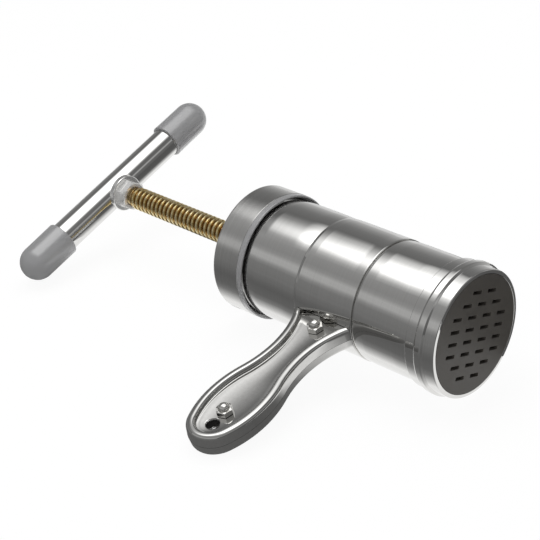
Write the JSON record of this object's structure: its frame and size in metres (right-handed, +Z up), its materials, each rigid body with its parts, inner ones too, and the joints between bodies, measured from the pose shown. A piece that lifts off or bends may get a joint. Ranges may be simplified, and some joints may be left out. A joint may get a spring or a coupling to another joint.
{
  "type": "pasta extruder with crank",
  "caption": "Hand cranked pasta extruder: a steel barrel with a side handle, a slotted mould held by a screw ring, and a piston driven by a long screw with a T handle.",
  "frame": {"origin": "centre of the mould's outer face, on the barrel's axis", "axes": "+X along the barrel, out through the mould; +Z up with the tool lying on its side; +Y away from the side handle"},
  "size_m": [0.2494, 0.1792, 0.0636],
  "materials": {
    "steel_polished": "polished stainless steel",
    "steel_brushed": "brushed round the axis",
    "plated_screw": "yellow passivated plating on steel",
    "zinc_fastener": "bright plated fasteners",
    "grey_plastic": "satin grey plastic",
    "nylon_seal": "natural nylon",
    "mould_grey": "dark grey coated metal"
  },
  "bodies": {
    "barrel": {"barrel_tube": "steel_polished", "handle_hoop": "steel_polished", "upper_shell": "steel_polished", "lower_shell": "steel_polished", "handle_screws": "zinc_fastener", "cap_nuts": "zinc_fastener"},
    "lid_seal": {"lid_gasket": "nylon_seal"},
    "lid": {"lid_cup": "steel_brushed", "lid_liner": "grey_plastic", "drive_nut": "plated_screw"},
    "piston": {"piston_plate": "steel_polished", "piston_seal": "nylon_seal"},
    "crank": {"crank_screw": "plated_screw", "bar_tube": "steel_polished", "bar_collar": "zinc_fastener", "bar_nut": "zinc_fastener", "near_grip": "grey_plastic", "far_grip": "grey_plastic", "thrust_washer": "zinc_fastener", "piston_screw": "zinc_fastener"},
    "mould": {"mould_disc": "mould_grey"},
    "ring": {"mould_ring": "steel_brushed"}
  },
  "joints": [
    {"name": "lid_travel", "type": "slide", "parent": "barrel", "child": "lid_seal", "axis": [1, 0, 0], "range_m": [-0.012, 0]},
    {"name": "lid_turn", "type": "hinge", "parent": "lid_seal", "child": "lid", "pos_m": [-0.125, 0, 0], "axis": [1, 0, 0], "range_deg": [-1440, 0]},
    {"name": "piston_travel", "type": "slide", "parent": "lid", "child": "piston", "axis": [1, 0, 0], "range_m": [-0.021, 0.087]},
    {"name": "crank_turn", "type": "hinge", "parent": "piston", "child": "crank", "pos_m": [-0.15, 0, 0], "axis": [1, 0, 0], "range_deg": [-2520, 10440]},
    {"name": "mould_travel", "type": "slide", "parent": "barrel", "child": "mould", "axis": [1, 0, 0], "range_m": [0, 0.012]},
    {"name": "ring_turn", "type": "hinge", "parent": "mould", "child": "ring", "pos_m": [-0.008, 0, 0], "axis": [1, 0, 0], "range_deg": [0, 1440]}
  ],
  "couplings": [
    {"joint": "lid_travel", "follows": "lid_turn", "m_per_rad": 0.00047746},
    {"joint": "piston_travel", "follows": "crank_turn", "m_per_rad": 0.00047746},
    {"joint": "mould_travel", "follows": "ring_turn", "m_per_rad": 0.00047746}
  ]
}
